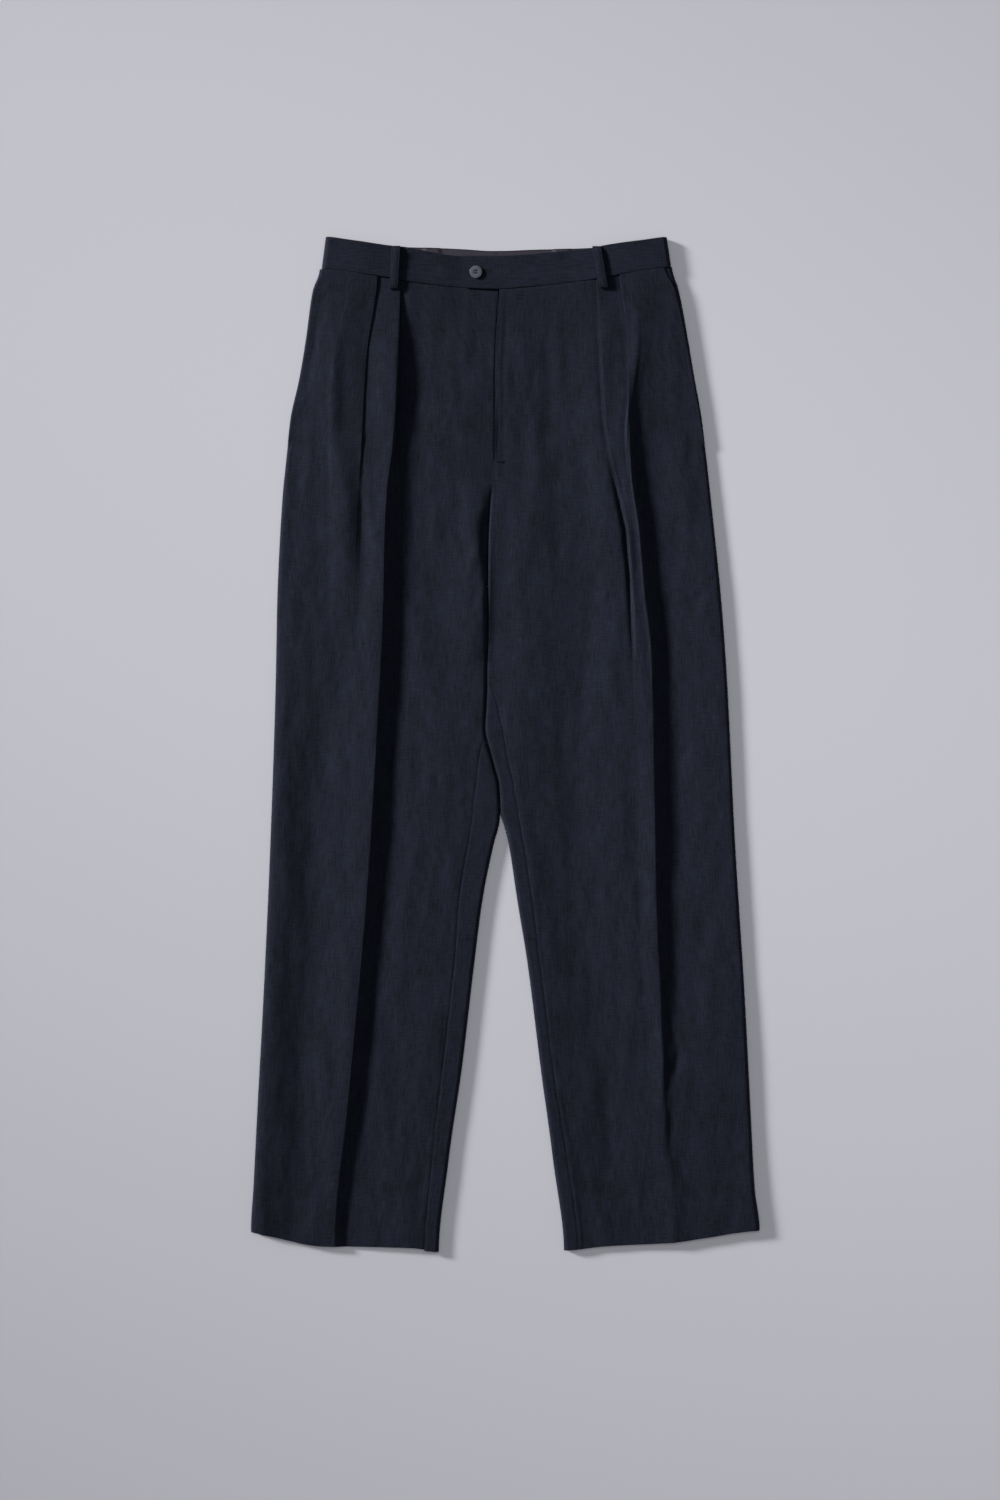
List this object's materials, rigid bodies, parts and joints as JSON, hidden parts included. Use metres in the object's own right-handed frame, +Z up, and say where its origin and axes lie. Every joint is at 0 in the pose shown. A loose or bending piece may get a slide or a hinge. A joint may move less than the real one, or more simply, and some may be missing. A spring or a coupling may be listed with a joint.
{
  "type": "pleated trousers",
  "caption": "Pleated trousers laid flat with the front up: tabbed waistband, fly, slanted pockets, belt loops, forward pleats and pressed creases.",
  "frame": {"origin": "on the surface that the trousers lie on, under the middle of their outline", "axes": "+X to the wearer's left side, +Y up the legs to the waist, +Z up from the surface through the front"},
  "size_m": [0.5548, 1.1062, 0.0172],
  "materials": {
    "cloth": "matt woven linen and wool",
    "lining": "smooth woven cotton",
    "button": "polished"
  },
  "bodies": {
    "root": {"front_right": "cloth", "front_left": "cloth", "back_right": "cloth", "back_left": "cloth", "pocket_facing_right": "cloth", "pocket_facing_left": "cloth", "fly_facing": "cloth", "fly_shield": "cloth", "waistband_right": "cloth", "waistband_left": "cloth", "waistband_lining": "lining", "belt_loop_front_right": "cloth", "belt_loop_front_left": "cloth", "belt_loop_back_right": "cloth", "belt_loop_back_left": "cloth", "button": "button"}
  },
  "joints": []
}
